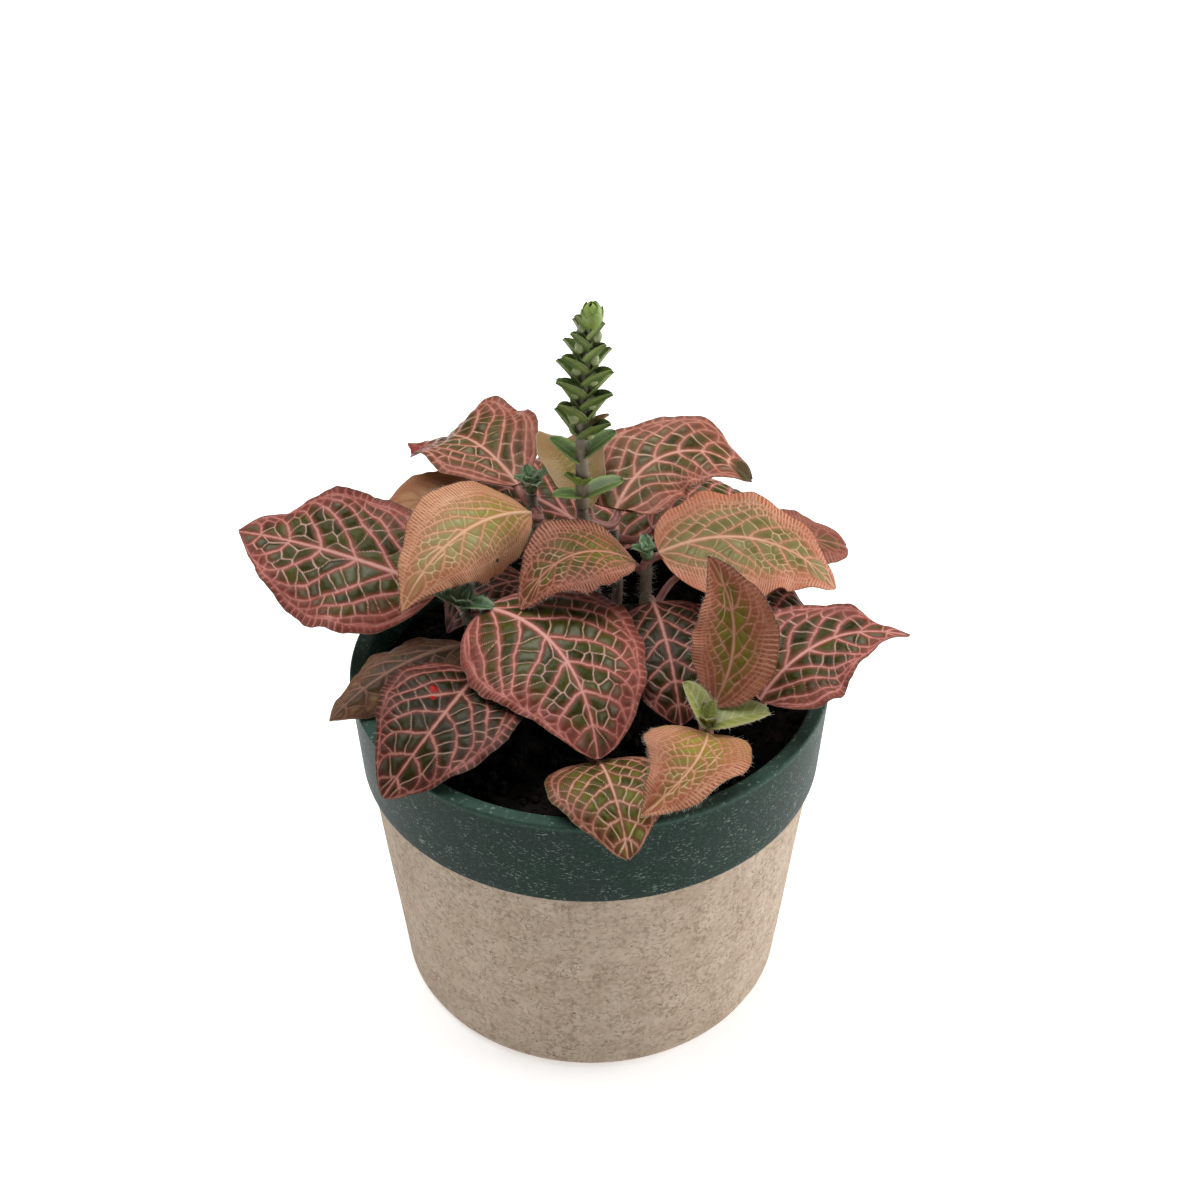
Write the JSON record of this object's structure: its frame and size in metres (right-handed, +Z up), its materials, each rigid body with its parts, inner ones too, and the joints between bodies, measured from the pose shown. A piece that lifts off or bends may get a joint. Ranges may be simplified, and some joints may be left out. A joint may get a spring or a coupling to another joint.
{
  "type": "potted nerve plant",
  "caption": "Low bushy house plant with broad net-veined leaves and an upright flower spike, in a tapered fibre pot with a dark rim collar.",
  "frame": {"origin": "centre of the pot's underside, on the surface that it stands on", "axes": "+Z up along the pot's axis, -Y towards the side that the picture shows, +X to its right"},
  "size_m": [0.1655, 0.1517, 0.186],
  "materials": {
    "fibre_shell": "matt moulded plant fibre, warm grey beige with fine dark specks",
    "rim_plastic": "satin dark green moulding with fine pale flecks",
    "potting_mix": "dark crumbly peat mix",
    "stem": "fleshy pinkish stem with pale hairs",
    "mature_leaf": "satin olive green leaf with a net of pink veins",
    "young_leaf": "soft orange brown leaf, lime green in the middle",
    "green_shoot": "fresh green bracts and small leaves"
  },
  "bodies": {
    "root": {"pot_shell": "fibre_shell", "rim_collar": "rim_plastic", "potting_mix": "potting_mix", "stem_spike": "stem", "stem_middle": "stem", "stem_back_left": "stem", "stem_left": "stem", "stem_rim_left": "stem", "stem_front": "stem", "stem_front_right": "stem", "stem_right": "stem", "stem_back": "stem", "leaf_left": "mature_leaf", "leaf_front": "mature_leaf", "leaf_left_front": "young_leaf", "leaf_back_left": "mature_leaf", "leaf_left_back": "young_leaf", "leaf_behind_spike": "young_leaf", "leaf_back_right": "mature_leaf", "leaf_middle": "young_leaf", "leaf_right": "young_leaf", "leaf_right_behind": "young_leaf", "leaf_front_inner": "mature_leaf", "leaf_rim_left": "mature_leaf", "leaf_left_low": "mature_leaf", "leaf_rim_front": "mature_leaf", "leaf_shoot_upright": "young_leaf", "leaf_shoot_front": "young_leaf", "leaf_right_low": "mature_leaf", "leaf_left_under": "mature_leaf", "leaf_right_under": "mature_leaf", "leaf_back_low_left": "mature_leaf", "leaf_back_middle": "mature_leaf", "leaf_back_low_right": "mature_leaf", "flower_spike": "green_shoot", "tip_back_left": "green_shoot", "tip_left": "green_shoot", "tip_middle": "green_shoot", "tip_front_right": "green_shoot"}
  },
  "joints": []
}
